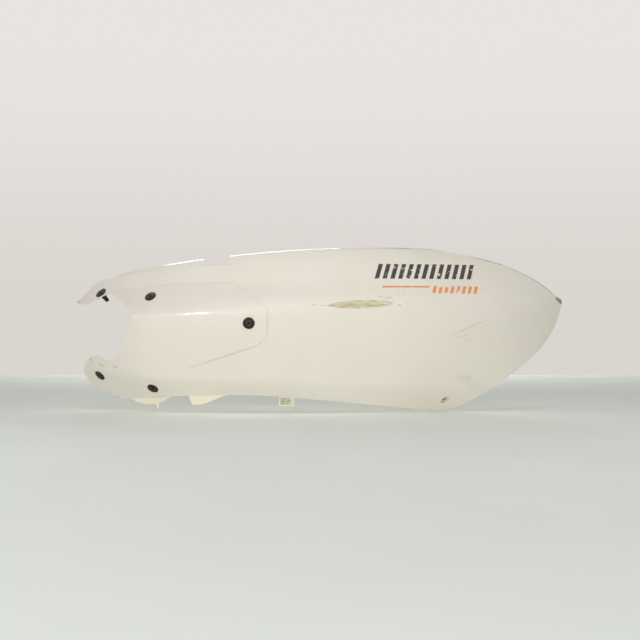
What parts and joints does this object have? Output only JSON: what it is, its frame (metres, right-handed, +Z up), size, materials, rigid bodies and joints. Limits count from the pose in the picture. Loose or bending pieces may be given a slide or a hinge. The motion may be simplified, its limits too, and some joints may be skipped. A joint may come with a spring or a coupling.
{
  "type": "scooter side panel",
  "caption": "Left rear side panel of a small motor scooter: a thin double-curved painted moulding with a raised shield, front ears, lower tabs and two-piece rivets left in it.",
  "frame": {"origin": "the point where the centre rivet's axis leaves the back of the panel", "axes": "+X back along the scooter, +Z up, the outer face towards -Y"},
  "size_m": [0.758, 0.1393, 0.2465],
  "materials": {
    "panel": "cream white gloss paint on moulded plastic, with a scuff and scratches; bare ivory inside",
    "rivet": "black satin nylon"
  },
  "bodies": {
    "root": {"side_panel": "panel", "rivet_bodies": "rivet", "rivet_pins": "rivet"}
  },
  "joints": []
}
